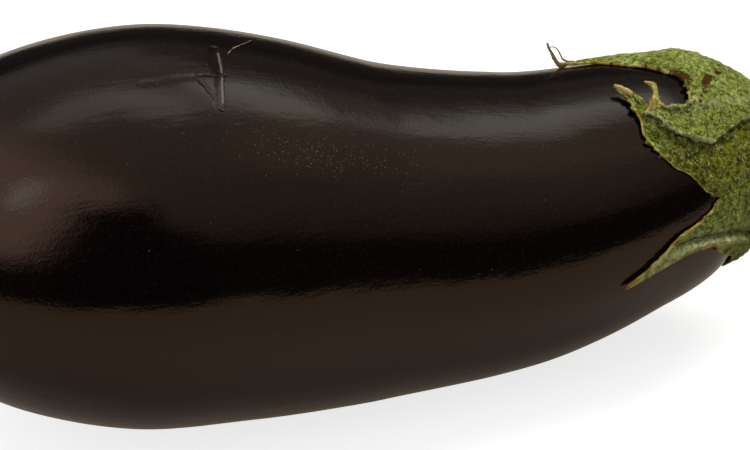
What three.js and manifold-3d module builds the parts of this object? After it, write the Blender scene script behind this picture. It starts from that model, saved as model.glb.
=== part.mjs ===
// A ripe eggplant (aubergine) as picked, lying on its side: the fruit, the green calyx that caps
// its neck, and the cut stem. Millimetres, +Z up, +X towards the stem.
// The origin is on the small flat spot, in the fruit's underside, that it rests on.
import * as THREE from "three";
import { mergeVertices } from "three/addons/utils/BufferGeometryUtils.js";
import Module from "manifold-3d";

const wasm = await Module();
wasm.setup();

// ---- driving dimensions ----

// The fruit's curved axis, from the blossom end to the cut end of the stem.
const AXIS = [
  [-88, -2, 50], [-52, -1, 45.4], [-16, 0, 40.6], [20, 0, 35], [51, 2, 32.8],
  [77.5, 5.7, 35.4], [98.5, 8.8, 38.6], [117, 9.6, 41], [137, 9, 43], [156, 10, 47],
];
// The fruit's profile as [radius, distance along the axis], from the blossom end to the stem end.
const FRUIT_PROFILE = [
  [0, 0], [10, 2.2], [22, 10], [32, 24.5], [38.6, 42], [41.6, 62], [39.6, 86.5],
  [35, 113], [31.1, 144], [26.2, 173], [22.2, 184], [18.2, 193], [9.6, 201.6], [0, 205],
];
const FRUIT_LENGTH = FRUIT_PROFILE.at(-1)[1];
const FLAT_SPOT_BLOCK = { length: 120, width: 60, height: 20 };

const CALYX_GAP = 0.5; // between the fruit's skin and the underside of the calyx
const CALYX_EDGE = 37; // from the stem end, along the skin, to where the sepals part
const CALYX_BORE = 7.2; // radius of the opening that the stem passes through
const CALYX_COLLAR = 7; // how far the calyx climbs the stem, from the end of the fruit
const CALYX_WALL = { collar: 0.9, shoulder: 3.2, edge: 1.5 };

// Each sepal: the angle round the fruit of its root, how far it leans round by its tip (degrees,
// 0 on top and 90 towards -Y), the tip's distance from the stem end along the skin, the width
// at its root, how high the tip curls off the skin, and how far it lies over its neighbour.
const SEPALS = [
  { angle: -16, lean: -10, tip: 63, width: 19, curl: 5 },
  { angle: 33, lean: -20, tip: 47, width: 12, curl: 2.5, over: 1.2 },
  { angle: 54, lean: -34, tip: 54, width: 20, curl: 0.6 },
  { angle: 86, lean: 11, tip: 65, width: 12, curl: 0.6 },
  { angle: 146, lean: 8, tip: 57, width: 18, curl: 0.6 },
  { angle: 205, lean: -6, tip: 61, width: 18, curl: 0.8 },
  { angle: 272, lean: 6, tip: 56, width: 19, curl: 1.5 },
];
const SEPAL_ROOT = 26; // where a sepal's solid starts, well inside the cap
const SEPAL_WALL = { root: 0.8, tip: 0.7 };
const SEPAL_STEP = 0.35; // from the underside of the cap up to the underside of a sepal
const SEPAL_TIP_WIDTH = 0.08; // of its root width

const STEM_FOOT = 0.6; // from the end of the fruit to the stem's foot
const STEM_END = 39; // from the end of the fruit to the cut end, along the axis
const STEM_RADIUS = { foot: 6.8, waist: 6.2, cut: 7.2 };
const STEM_RIDGES = { count: 5, depth: 0.25 };

const ROUND_SEGMENTS = 48;
const STEM_SEGMENTS = 40;
const FRUIT_RINGS = 40;
const SLIVER = 0.02; // faces thinner than this are tidied away after a join or a cut

// ---- the axis and the skin ----

const spine = new THREE.CatmullRomCurve3(
  AXIS.map((point) => new THREE.Vector3(...point)), false, "catmullrom", 0.5,
);
spine.arcLengthDivisions = 800;
const spineLength = spine.getLength();

const profile = new THREE.SplineCurve(FRUIT_PROFILE.map((point) => new THREE.Vector2(...point)));
profile.arcLengthDivisions = 800;
const profileLength = profile.getLength();

// Moves a point given around a straight axis (y along it, z on top, x towards -Y) onto the spine.
function alongSpine(point) {
  const station = THREE.MathUtils.clamp(point.y / spineLength, 0, 1);
  const centre = spine.getPointAt(station);
  const forward = spine.getTangentAt(station);
  const side = new THREE.Vector3().crossVectors(forward, new THREE.Vector3(0, 0, 1)).normalize();
  const top = new THREE.Vector3().crossVectors(side, forward);
  const beyond = point.y - station * spineLength;
  return centre
    .addScaledVector(forward, beyond)
    .addScaledVector(side, point.x)
    .addScaledVector(top, point.z);
}

// The profile's point at a distance along the skin from the stem end, raised off the skin.
function profilePoint(distance, height) {
  const station = 1 - distance / profileLength;
  const point = profile.getPointAt(station);
  const along = profile.getTangentAt(station);
  return new THREE.Vector2(point.x + height * along.y, point.y - height * along.x);
}

// ---- from geometries to solids ----

function bendOntoSpine(geometry) {
  const position = geometry.getAttribute("position");
  const point = new THREE.Vector3();
  for (let i = 0; i < position.count; i += 1) {
    const bent = alongSpine(point.fromBufferAttribute(position, i));
    position.setXYZ(i, bent.x, bent.y, bent.z);
  }
  return geometry;
}

// Merges shared corners and drops the faces of no area that a lathe leaves at its poles.
function weld(geometry) {
  geometry.deleteAttribute("normal");
  geometry.deleteAttribute("uv");
  const welded = mergeVertices(geometry, 1e-4);
  const index = welded.getIndex().array;
  const kept = [];
  for (let i = 0; i < index.length; i += 3) {
    const [a, b, c] = index.slice(i, i + 3);
    if (a !== b && b !== c && c !== a) {
      kept.push(a, b, c);
    }
  }
  welded.setIndex(kept);
  return welded;
}

function solid(geometry) {
  const welded = weld(geometry);
  return new wasm.Manifold(new wasm.Mesh({
    numProp: 3,
    vertProperties: Float32Array.from(welded.getAttribute("position").array),
    triVerts: Uint32Array.from(welded.getIndex().array),
  }));
}

function geometryOf(manifold) {
  const mesh = manifold.simplify(SLIVER).getMesh();
  const geometry = new THREE.BufferGeometry();
  geometry.setAttribute("position", new THREE.BufferAttribute(mesh.vertProperties, 3));
  geometry.setIndex(new THREE.BufferAttribute(mesh.triVerts, 1));
  geometry.computeVertexNormals();
  return geometry;
}

// ---- the fruit ----

function fruit() {
  const rings = profile.getSpacedPoints(FRUIT_RINGS);
  rings[0].x = 0;
  rings[FRUIT_RINGS].x = 0;
  const body = bendOntoSpine(new THREE.LatheGeometry(rings, ROUND_SEGMENTS));
  const { length, width, height } = FLAT_SPOT_BLOCK;
  const ground = new THREE.BoxGeometry(length, width, height);
  ground.translate(0, 0, -height / 2);
  return geometryOf(solid(body).subtract(solid(ground)));
}

// ---- the calyx ----

function calyxThickness(distance) {
  const { shoulder, edge } = CALYX_WALL;
  const share = THREE.MathUtils.smoothstep(distance, CALYX_BORE, CALYX_EDGE);
  return THREE.MathUtils.lerp(shoulder, edge, share);
}

// The cap's section: up its outside to the collar, down the bore, and back along the underside.
function calyxCap() {
  const steps = 9;
  const outside = [];
  const underside = [];
  for (let i = 0; i <= steps; i += 1) {
    const distance = THREE.MathUtils.lerp(CALYX_EDGE, CALYX_BORE + 4, i / steps);
    outside.push(profilePoint(distance, CALYX_GAP + calyxThickness(distance)));
  }
  for (let i = 0; i <= steps; i += 1) {
    const distance = THREE.MathUtils.lerp(CALYX_BORE, CALYX_EDGE, i / steps);
    underside.push(profilePoint(distance, CALYX_GAP));
  }
  const collarTop = FRUIT_LENGTH + CALYX_COLLAR;
  const section = [
    ...outside,
    new THREE.Vector2(CALYX_BORE + CALYX_WALL.collar, collarTop),
    new THREE.Vector2(CALYX_BORE, collarTop),
    ...underside,
    outside[0].clone(),
  ];
  return solid(bendOntoSpine(new THREE.LatheGeometry(section, ROUND_SEGMENTS)));
}

// A sepal is a box of unit size whose corners are carried onto the skin: x across the sepal,
// y through its thickness, z from its root to its tip.
function sepal({ angle, lean, tip, width, curl, over = 0 }) {
  const geometry = new THREE.BoxGeometry(1, 1, 1, 6, 1, 14);
  const position = geometry.getAttribute("position");
  for (let i = 0; i < position.count; i += 1) {
    const along = position.getZ(i) + 0.5;
    const distance = THREE.MathUtils.lerp(SEPAL_ROOT, tip, along);
    const taper = Math.max(Math.cos(along * Math.PI / 2), SEPAL_TIP_WIDTH);
    const wall = THREE.MathUtils.lerp(SEPAL_WALL.root, SEPAL_WALL.tip, along);
    const lift = CALYX_GAP + SEPAL_STEP + over * along + curl * along ** 3;
    const height = lift + wall * (position.getY(i) + 0.5);
    const { x: radius, y: station } = profilePoint(distance, height);
    const turn = position.getX(i) * width * taper / radius;
    const around = THREE.MathUtils.degToRad(angle + lean * along ** 2) + turn;
    position.setXYZ(i, radius * Math.sin(around), station, radius * Math.cos(around));
  }
  return solid(bendOntoSpine(geometry));
}

function calyx() {
  return geometryOf(SEPALS.reduce((whole, shape) => whole.add(sepal(shape)), calyxCap()));
}

// ---- the stem ----

function stem() {
  const { foot, waist, cut } = STEM_RADIUS;
  const start = FRUIT_LENGTH + STEM_FOOT;
  const end = FRUIT_LENGTH + STEM_END;
  const side = new THREE.SplineCurve([
    new THREE.Vector2(foot, start),
    new THREE.Vector2(foot, start + CALYX_COLLAR),
    new THREE.Vector2(waist, THREE.MathUtils.lerp(start, end, 0.6)),
    new THREE.Vector2(cut, end),
  ]);
  const outline = [new THREE.Vector2(0, start), ...side.getSpacedPoints(12), new THREE.Vector2(0, end)];
  const geometry = new THREE.LatheGeometry(outline, STEM_SEGMENTS);
  const position = geometry.getAttribute("position");
  for (let i = 0; i < position.count; i += 1) {
    const around = Math.atan2(position.getX(i), position.getZ(i));
    const swell = 1 - STEM_RIDGES.depth / waist * (1 - Math.cos(STEM_RIDGES.count * around));
    position.setX(i, position.getX(i) * swell);
    position.setZ(i, position.getZ(i) * swell);
  }
  return geometryOf(solid(bendOntoSpine(geometry)));
}

// ---- the object ----

function piece(name, geometry, color, roughness) {
  const material = new THREE.MeshStandardMaterial({ color, roughness, metalness: 0 });
  const mesh = new THREE.Mesh(geometry, material);
  mesh.name = name;
  return mesh;
}

const eggplant = new THREE.Group();
eggplant.add(
  piece("fruit", fruit(), 0x1d1418, 0.25),
  piece("calyx", calyx(), 0x6c7a33, 0.8),
  piece("stem", stem(), 0x7b8744, 0.75),
);

export default eggplant;
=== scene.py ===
"""A ripe eggplant lying on its side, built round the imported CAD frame.

The fruit is one swept skin with its growth marks, the calyx is a wrapped sheet of sepals, and the
stem is a ridged sweep with a cut end. Lengths are worked out in millimetres and made into metres
when a mesh is made. A place on the fruit is an angle round the axis (degrees, 0 on top, 90 towards
-Y), a distance from the stem end along the skin, and a height over the skin.
"""
import bmesh
import bpy
import math
import numpy as np
from mathutils import Matrix, Vector, kdtree, noise


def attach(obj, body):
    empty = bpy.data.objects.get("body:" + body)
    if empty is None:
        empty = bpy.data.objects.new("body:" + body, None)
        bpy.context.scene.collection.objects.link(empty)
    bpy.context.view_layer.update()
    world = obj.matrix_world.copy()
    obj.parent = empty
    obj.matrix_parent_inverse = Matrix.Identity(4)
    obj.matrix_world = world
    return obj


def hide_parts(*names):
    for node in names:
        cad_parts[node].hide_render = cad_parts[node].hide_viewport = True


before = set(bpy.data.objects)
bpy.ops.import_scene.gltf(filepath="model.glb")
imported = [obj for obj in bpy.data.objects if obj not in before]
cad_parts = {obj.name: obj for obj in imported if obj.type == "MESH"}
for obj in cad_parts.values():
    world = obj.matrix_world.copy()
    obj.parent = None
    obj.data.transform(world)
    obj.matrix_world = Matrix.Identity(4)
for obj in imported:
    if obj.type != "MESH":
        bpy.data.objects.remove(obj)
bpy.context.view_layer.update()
MM = 0.001
FULL_TURN = 2 * math.pi

# ---- driving dimensions, the same as the CAD part's, in millimetres ----

AXIS = [
    (-88, -2, 50), (-52, -1, 45.4), (-16, 0, 40.6), (20, 0, 35), (51, 2, 32.8),
    (77.5, 5.7, 35.4), (98.5, 8.8, 38.6), (117, 9.6, 41), (137, 9, 43), (156, 10, 47),
]
FRUIT_PROFILE = [  # radius and station along the axis, from the blossom end to the stem end
    (0, 0), (10, 2.2), (22, 10), (32, 24.5), (38.6, 42), (41.6, 62), (39.6, 86.5),
    (35, 113), (31.1, 144), (26.2, 173), (22.2, 184), (18.2, 193), (9.6, 201.6), (0, 205),
]
FRUIT_LENGTH = FRUIT_PROFILE[-1][1]
STEM_START = FRUIT_LENGTH + 1.5
STEM_END = FRUIT_LENGTH + 39


# ---- curves ----

def spline(points, steps, extended=False):
    """Points along a Catmull-Rom curve; the ends are clamped, or carried on in a straight line."""
    points = np.asarray(points, float)
    before = 2 * points[0] - points[1] if extended else points[0]
    after = 2 * points[-1] - points[-2] if extended else points[-1]
    padded = np.vstack([before, points, after])
    place = np.linspace(0, len(points) - 1, steps)
    start = np.minimum(place.astype(int), len(points) - 2)
    part = (place - start)[:, None]
    p0, p1, p2, p3 = (padded[start + k] for k in range(4))
    leave, arrive = (p2 - p0) / 2, (p3 - p1) / 2
    cubic = (2 * p1 - 2 * p2 + leave + arrive) * part ** 3
    square = (-3 * p1 + 3 * p2 - 2 * leave - arrive) * part ** 2
    return cubic + square + leave * part + p1


def lengths(curve):
    """How far along the curve each of its points is."""
    steps = np.linalg.norm(np.diff(curve, axis=0), axis=1)
    return np.concatenate([[0], np.cumsum(steps)])


def sample(curve, at, places):
    """The curve's points at the given places, where at holds each point's own place."""
    return np.stack([np.interp(places, at, column) for column in curve.T], -1)


def smooth_step(low, high, value):
    share = np.clip((value - low) / (high - low), 0, 1)
    return share * share * (3 - 2 * share)


def hump(offset, width, power=2):
    """1 at no offset, falling away to 0 over about the width; a higher power has a flatter top."""
    return np.exp(-(offset / width) ** power)


def turned_from(angle, middle):
    """The turn from a middle angle, between -180 and 180 degrees."""
    return (angle - middle + 180) % 360 - 180


spine = spline(AXIS, 1200, extended=True)
spine_at = lengths(spine)
spine_forward = np.gradient(spine, spine_at, axis=0)
profile = spline(FRUIT_PROFILE, 1500)
profile_at = lengths(profile)
profile_along = np.gradient(profile, profile_at, axis=0)
SKIN_LENGTH = profile_at[-1]


def unit(vectors):
    return vectors / np.linalg.norm(vectors, axis=-1, keepdims=True)


def bent(radius, station, angle):
    """The point at a radius, a station and an angle in radians round the bent axis."""
    centre = sample(spine, spine_at, station)
    forward = unit(sample(spine_forward, spine_at, station))
    side = unit(np.cross(forward, (0, 0, 1)))
    top = np.cross(side, forward)
    radius = np.asarray(radius)[..., None]
    return centre + radius * (np.sin(angle)[..., None] * side + np.cos(angle)[..., None] * top)


def raised_profile(distance, height):
    """The radius and station of a place, and how the skin runs there."""
    place = SKIN_LENGTH - distance
    radius, station = np.moveaxis(sample(profile, profile_at, place), -1, 0)
    along_radius, along_station = np.moveaxis(sample(profile_along, profile_at, place), -1, 0)
    raised = radius + height * along_station, station - height * along_radius
    return raised, (along_radius, along_station)


def over_skin(angle, distance, height):
    """The point over the skin at an angle in degrees, a distance and a height."""
    (radius, station), _ = raised_profile(distance, height)
    return bent(radius, station, np.radians(angle))


NOISE_FADE = 0.6  # how fast the finer noise fades
NOISE_STEP = 2.1  # how much finer each octave is


def rumple(points, size, seed, octaves=2):
    """Smooth noise from -1 to 1 at each point, with features about size millimetres across."""
    shift = Vector((seed * 7.3, seed * 3.1, seed * 5.7))
    return np.array([noise.fractal(Vector(point) / size + shift, NOISE_FADE, NOISE_STEP, octaves)
                     for point in points])


# ---- meshes ----

def new_object(name, data):
    """An object at the origin, linked to the scene."""
    made = bpy.data.objects.new(name, data)
    bpy.context.scene.collection.objects.link(made)
    return made


def add_attribute(mesh, label, values):
    layer = mesh.attributes.new(label, "FLOAT", "POINT")
    layer.data.foreach_set("value", np.asarray(values, np.float32))


def read_points(mesh, label):
    values = np.zeros(len(mesh.vertices) * 3)
    mesh.vertices.foreach_get(label, values)
    return values.reshape(-1, 3)


def mesh_piece(name, points, faces, material, attributes=None):
    mesh = bpy.data.meshes.new(name)
    mesh.from_pydata((np.asarray(points) * MM).tolist(), [], faces)
    for label, values in (attributes or {}).items():
        add_attribute(mesh, label, values)
    mesh.materials.append(material)
    face_outward(mesh)
    return new_object(name, mesh)


def face_outward(mesh, ends_open=False):
    """Turns every face outward, once the open rings at a sweep's ends have a face each."""
    shape = bmesh.new()
    shape.from_mesh(mesh)
    if ends_open:
        rims = [edge for edge in shape.edges if edge.is_boundary]
        bmesh.ops.holes_fill(shape, edges=rims, sides=0)
    bmesh.ops.recalc_face_normals(shape, faces=shape.faces)
    shape.to_mesh(mesh)
    shape.free()
    mesh.shade_smooth()


def ring_faces(rings, around):
    """Four-cornered faces between one ring of points and the next."""
    return [(ring * around + turn, ring * around + (turn + 1) % around,
             (ring + 1) * around + (turn + 1) % around, (ring + 1) * around + turn)
            for ring in range(rings) for turn in range(around)]


def line_host(name, points, radii):
    """A chain of edges that carries a radius at each point, for a sweep to follow."""
    mesh = bpy.data.meshes.new(name)
    edges = [(i, i + 1) for i in range(len(points) - 1)]
    mesh.from_pydata((np.asarray(points) * MM).tolist(), edges, [])
    add_attribute(mesh, "radius_m", np.asarray(radii) * MM)
    return new_object(name, mesh)


def grown_piece(name, host, tree, values):
    """The plain mesh that a node tree makes from the host object's mesh, as its own object."""
    modifier = host.modifiers.new(tree.name, "NODES")
    modifier.node_group = tree
    for item in tree.interface.items_tree:
        if item.in_out == "INPUT" and item.name in values:
            modifier[item.identifier] = values[item.name]
    depsgraph = bpy.context.evaluated_depsgraph_get()
    mesh = bpy.data.meshes.new_from_object(
        host.evaluated_get(depsgraph), preserve_all_data_layers=True, depsgraph=depsgraph)
    host.modifiers.remove(modifier)
    mesh.name = name
    return new_object(name, mesh)


def swept_piece(name, points, radii, tree, values):
    """A piece swept along a line, whose own object is gone afterwards."""
    host = line_host(name + "_line", points, radii)
    piece = grown_piece(name, host, tree, values)
    line = host.data
    bpy.data.objects.remove(host)
    bpy.data.meshes.remove(line)
    return piece


# ---- node trees ----

def new_tree(name, inputs):
    tree = bpy.data.node_groups.new(name, "GeometryNodeTree")
    tree.interface.new_socket("Geometry", in_out="INPUT", socket_type="NodeSocketGeometry")
    for label, kind in inputs.items():
        tree.interface.new_socket(label, in_out="INPUT", socket_type="NodeSocket" + kind)
    tree.interface.new_socket("Geometry", in_out="OUTPUT", socket_type="NodeSocketGeometry")
    return tree, tree.nodes.new("NodeGroupInput").outputs


def add_node(tree, kind, settings=None, **inputs):
    """A node with its settings and inputs; an input is a value, or another node's output to join.

    An input is named by its label, with _ for a space, or by i and its number.
    """
    node = tree.nodes.new(kind)
    for key, value in (settings or {}).items():
        setattr(node, key, value)
    for label, value in inputs.items():
        by_number = label[0] == "i" and label[1:].isdigit()
        key = int(label[1:]) if by_number else label.replace("_", " ")
        if isinstance(value, bpy.types.NodeSocket):
            tree.links.new(value, node.inputs[key])
        else:
            node.inputs[key].default_value = value
    return node


def numbered(terms):
    return {f"i{number}": term for number, term in enumerate(terms)}


def add_math(tree, operation, *terms):
    node = add_node(tree, "ShaderNodeMath", {"operation": operation}, **numbered(terms))
    return node.outputs[0]


def add_vector_math(tree, operation, *terms, **named):
    """The result of a sum on vectors, which is a plain number for a dot product or a distance."""
    node = add_node(tree, "ShaderNodeVectorMath", {"operation": operation},
                    **numbered(terms), **named)
    return node.outputs["Value" if operation in ("DOT_PRODUCT", "DISTANCE") else "Vector"]


def add_ramp(tree, value, low, high, start=0.0, end=1.0):
    """A smooth change from start at low to end at high."""
    return add_node(tree, "ShaderNodeMapRange", {"interpolation_type": "SMOOTHSTEP"}, Value=value,
                    From_Min=low, From_Max=high, To_Min=start, To_Max=end).outputs[0]


def add_mix(tree, share, first, second):
    """Blends two colours, each a plain colour or another node's output."""
    colors = [color if isinstance(color, bpy.types.NodeSocket) else (*color, 1)
              for color in (first, second)]
    return add_node(tree, "ShaderNodeMix", {"data_type": "RGBA"},
                    i0=share, i6=colors[0], i7=colors[1]).outputs[2]


def named_values(tree, name):
    return add_node(tree, "GeometryNodeInputNamedAttribute", {"data_type": "FLOAT"},
                    Name=name).outputs[0]


def random_between(tree, low, high, seed):
    return add_node(tree, "FunctionNodeRandomValue", {"data_type": "FLOAT"},
                    i2=low, i3=high, Seed=seed).outputs[1]


def realized(tree, geometry):
    return add_node(tree, "GeometryNodeRealizeInstances", Geometry=geometry).outputs["Geometry"]


def finish_tree(tree, geometry, material):
    """Ends a tree with real faces of one material."""
    painted = add_node(tree, "GeometryNodeSetMaterial",
                       Geometry=realized(tree, geometry), Material=material)
    end = tree.nodes.new("NodeGroupOutput")
    tree.links.new(painted.outputs["Geometry"], end.inputs["Geometry"])
    return tree


def ridged_section(tree, given):
    """A circle of radius 1 whose rim swells in and out into ridges."""
    circle = add_node(tree, "GeometryNodeCurvePrimitiveCircle",
                      Resolution=given["Points round"], Radius=1.0)
    index = add_node(tree, "GeometryNodeInputIndex").outputs[0]
    turn = add_math(tree, "DIVIDE", index, given["Points round"])
    count = add_math(tree, "MULTIPLY", turn, given["Ridges"])
    ridge = add_math(tree, "COSINE", add_math(tree, "MULTIPLY", count, FULL_TURN))
    swell = add_math(tree, "MULTIPLY_ADD", ridge, given["Ridge depth"], 1.0)
    place = add_node(tree, "GeometryNodeInputPosition").outputs[0]
    scaled = add_vector_math(tree, "SCALE", place, Scale=swell)
    return add_node(tree, "GeometryNodeSetPosition",
                    Geometry=circle.outputs["Curve"], Position=scaled).outputs["Geometry"]


def sweep_tree():
    """Sweeps a round or ridged section along a line of edges, at each point's own radius."""
    tree, given = new_tree("sweep_along_axis", {
        "Points round": "Int", "Ridges": "Float", "Ridge depth": "Float", "Material": "Material"})
    path = add_node(tree, "GeometryNodeMeshToCurve", Mesh=given["Geometry"])
    upright = add_node(tree, "GeometryNodeSetCurveNormal", {"mode": "Z_UP"},
                       Curve=path.outputs["Curve"])
    swept = add_node(tree, "GeometryNodeCurveToMesh", Curve=upright.outputs["Curve"],
                     Profile_Curve=ridged_section(tree, given),
                     Scale=named_values(tree, "radius_m"))
    whole = add_node(tree, "GeometryNodeMergeByDistance",
                     Geometry=swept.outputs["Mesh"], Distance=1e-6)
    return finish_tree(tree, whole.outputs["Geometry"], given["Material"])


SPIN_SEED = 7
FLECK_HEIGHT = 0.25  # against its width
HAIRS_IN_STAR = 5
HAIR_LEAN = 62  # degrees away from upright


def scatter_tree(name, shape):
    """Scatters a small shape over the faces, at random sizes; "Weight" thins it out by place."""
    tree, given = new_tree(name, {
        "Density": "Float", "Weight": "String", "Smallest": "Float", "Largest": "Float",
        "Seed": "Int", "Material": "Material"})
    weight = named_values(tree, given["Weight"])
    density = add_math(tree, "MULTIPLY", given["Density"], weight)
    points = add_node(tree, "GeometryNodeDistributePointsOnFaces",
                      Mesh=given["Geometry"], Density=density, Seed=given["Seed"])
    size = random_between(tree, given["Smallest"], given["Largest"], given["Seed"])
    spin = random_between(tree, 0.0, FULL_TURN, SPIN_SEED)
    about = add_node(tree, "ShaderNodeCombineXYZ", Z=spin)
    turned = add_node(tree, "FunctionNodeRotateRotation", {"rotation_space": "LOCAL"},
                      Rotation=points.outputs["Rotation"], Rotate_By=about.outputs[0])
    placed = add_node(tree, "GeometryNodeInstanceOnPoints",
                      Points=points.outputs["Points"], Instance=shape(tree),
                      Rotation=turned.outputs[0], Scale=size)
    return finish_tree(tree, placed.outputs["Instances"], given["Material"])


def fleck_shape(tree):
    """A low round fleck, one unit across."""
    ball = add_node(tree, "GeometryNodeMeshIcoSphere", Radius=0.5, Subdivisions=2)
    flat = add_node(tree, "GeometryNodeTransform",
                    Geometry=ball.outputs["Mesh"], Scale=(1, 1, FLECK_HEIGHT))
    return flat.outputs["Geometry"]


def star_hair_shape(tree):
    """A star of pointed hairs that spread from one foot, each about one unit long."""
    hair = add_node(tree, "GeometryNodeMeshCone",
                    Vertices=3, Radius_Top=0.0, Radius_Bottom=0.07, Depth=1.0)
    leant = add_node(tree, "GeometryNodeTransform",
                     Geometry=hair.outputs["Mesh"], Rotation=(math.radians(HAIR_LEAN), 0, 0))
    ring = add_node(tree, "GeometryNodeMeshCircle", Vertices=HAIRS_IN_STAR, Radius=0.02)
    index = add_node(tree, "GeometryNodeInputIndex").outputs[0]
    turn = add_math(tree, "MULTIPLY", index, FULL_TURN / HAIRS_IN_STAR)
    about = add_node(tree, "ShaderNodeCombineXYZ", Z=turn)
    star = add_node(tree, "GeometryNodeInstanceOnPoints", Points=ring.outputs["Mesh"],
                    Instance=leant.outputs["Geometry"], Rotation=about.outputs[0])
    return realized(tree, star.outputs["Instances"])


# ---- colours, as linear red, green and blue ----

SKIN_SHADES = (0.0010, 0.0006, 0.0008), (0.0024, 0.0013, 0.0013)
SKIN_GRAIN = (0.0075, 0.005, 0.0035)
GLOSS_TINT = (1.0, 0.68, 0.46, 1)
# Painted highlight along the leaf scar's step.
SCAR_LIP_HIGHLIGHT = (0.42, 0.36, 0.3)
SCRATCH = (0.42, 0.34, 0.24)
SPECK_GOLD = (0.12, 0.082, 0.028)
CORK = (0.2, 0.13, 0.07)
# Painted light on the calyx: lit and shaded copies of its greens and of its dark mottling.
PAINTED_SHADE_GREENS = (0.150, 0.165, 0.001), (0.190, 0.215, 0.003)
PAINTED_SUN_GREENS = (0.220, 0.265, 0.028), (0.30, 0.36, 0.075)
DEEP_GREENS_PAINTED_SHADE_AND_SUN = (0.030, 0.038, 0.0005), (0.058, 0.085, 0.003)
VEIN = (0.56, 0.62, 0.28)
PALE_GREEN = (0.56, 0.59, 0.26)
RIM_TANS = (0.40, 0.20, 0.02), (0.62, 0.55, 0.14)
BRUISE = (0.075, 0.038, 0.004)
DOWN = (0.50, 0.56, 0.22)
STRAW = (0.5, 0.38, 0.13)
DRY_THREAD = (0.28, 0.2, 0.08)
STEM_GREENS = (0.10, 0.13, 0.004), (0.24, 0.29, 0.035)
STEM_PALE = (0.33, 0.37, 0.10)
CUT_WOODS = (0.3, 0.24, 0.1), (0.55, 0.47, 0.26)


# ---- materials ----

class Finish:
    """Writes a procedural material on Object coordinates."""

    def __init__(self, name):
        self.material = bpy.data.materials.new(name)
        self.material.use_nodes = True
        self.tree = self.material.node_tree
        self.surface = self.tree.nodes["Principled BSDF"]
        self.place = add_node(self.tree, "ShaderNodeTexCoord").outputs["Object"]

    def set(self, **constants):
        for label, value in constants.items():
            self.surface.inputs[label.replace("_", " ")].default_value = value

    def join(self, output, label):
        self.tree.links.new(output, self.surface.inputs[label])

    def mapped(self, scale):
        return add_node(self.tree, "ShaderNodeMapping", Vector=self.place, Scale=scale).outputs[0]

    def noise(self, size, detail=3.0, roughness=0.55, stretch=(1, 1, 1)):
        """Noise from 0 to 1 with features about size millimetres across."""
        scale = tuple(part / (size * MM) for part in stretch)
        return add_node(self.tree, "ShaderNodeTexNoise", Vector=self.mapped(scale), Scale=1.0,
                        Detail=detail, Roughness=roughness).outputs["Fac"]

    def ramp(self, value, low, high, start=0.0, end=1.0):
        return add_ramp(self.tree, value, low, high, start, end)

    def math(self, operation, first, second=0.0, third=0.0):
        return add_math(self.tree, operation, first, second, third)

    def times(self, first, second):
        return self.math("MULTIPLY", first, second)

    def deepest(self, first, second):
        """The larger of two values, of which the first may still be missing."""
        return second if first is None else self.math("MAXIMUM", first, second)

    def attribute(self, name):
        return add_node(self.tree, "ShaderNodeAttribute", {"attribute_name": name}).outputs["Fac"]

    def mix(self, share, first, second):
        return add_mix(self.tree, share, first, second)

    def bump(self, *layers):
        """Adds bumps, each a height from 0 to 1 with its depth in millimetres."""
        below = {}
        for height, depth in layers:
            node = add_node(self.tree, "ShaderNodeBump",
                            Height=height, Distance=depth * MM, Strength=1.0, **below)
            below = {"Normal": node.outputs["Normal"]}
        self.join(below["Normal"], "Normal")


WAVERS_PER_METRE = 420


def wavering_place(finish, reach):
    """The place on the object, shifted to and fro by up to reach millimetres."""
    tree = finish.tree
    cloud = add_node(tree, "ShaderNodeTexNoise", Vector=finish.mapped((WAVERS_PER_METRE,) * 3),
                     Scale=1.0, Detail=3.0)
    centred = add_vector_math(tree, "SUBTRACT", cloud.outputs["Color"], (0.5, 0.5, 0.5))
    shift = add_vector_math(tree, "SCALE", centred, Scale=2 * reach * MM)
    return add_vector_math(tree, "ADD", finish.place, shift)


def segment_distance(tree, place, start, end):
    """How far a place is from the straight mark between two points given in millimetres."""
    start, end = Vector(start) * MM, Vector(end) * MM
    line = end - start
    offset = add_vector_math(tree, "SUBTRACT", place, start)
    share = add_vector_math(tree, "DOT_PRODUCT", offset, line / line.length_squared)
    clamped = add_node(tree, "ShaderNodeClamp", Value=share).outputs[0]
    reach = add_vector_math(tree, "SCALE", line, Scale=clamped)
    return add_vector_math(tree, "DISTANCE", offset, reach)


LEDGES = [  # the leaf scar: angle and distance of both ends, reach of its slope, depth
    ((4, 146.6), (13.5, 147.0), 2.6, 0.26),
    ((16, 147.2), (25, 147.9), 2.3, 0.24),
]
LEDGE_STEP = 0.45  # how far the sharp step of a ledge runs, in millimetres
# The painted highlight along a scar's step fades in between these distances from it, in
# millimetres.
LIP_HIGHLIGHT_WIDTHS = 0.35, 0.1
GROOVES = [  # faint puckers: angle and distance of both ends, half width, depth
    ((17, 151.8), (24.5, 149.0), 0.8, 0.12),
    ((14.5, 146.5), (15.2, 151.5), 0.7, 0.14),
    ((11, 152.5), (12, 160.0), 1.5, 0.06),
    ((16, 153.0), (18, 163.0), 1.5, 0.07),
    ((12, 136.2), (22, 135.0), 0.35, 0.006),
    ((13, 132.0), (21, 131.5), 0.35, 0.005),
    ((15, 128.0), (22, 127.5), 0.35, 0.005),
]
SCRATCHES = [  # thin pale lines: angle and distance of both ends, half width, strength
    ((3.5, 144.6), (0, 143.2), 0.2, 0.5),
    ((0, 143.2), (-4, 140.6), 0.2, 0.6),
    ((-4, 140.6), (-8, 138.8), 0.2, 0.4),
]


def mark_ends(start, end):
    angles, distances = np.array([start, end], float).T
    return over_skin(angles, distances, 0.0)


def straight_marks(finish, marks):
    """The deepest, or strongest, of several straight marks at each place."""
    total = None
    place = wavering_place(finish, 0.5)
    for start, end, width, depth in marks:
        apart = segment_distance(finish.tree, place, *mark_ends(start, end))
        total = finish.deepest(total, finish.ramp(apart, 0.0, width * MM, depth, 0.0))
    return total


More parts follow.
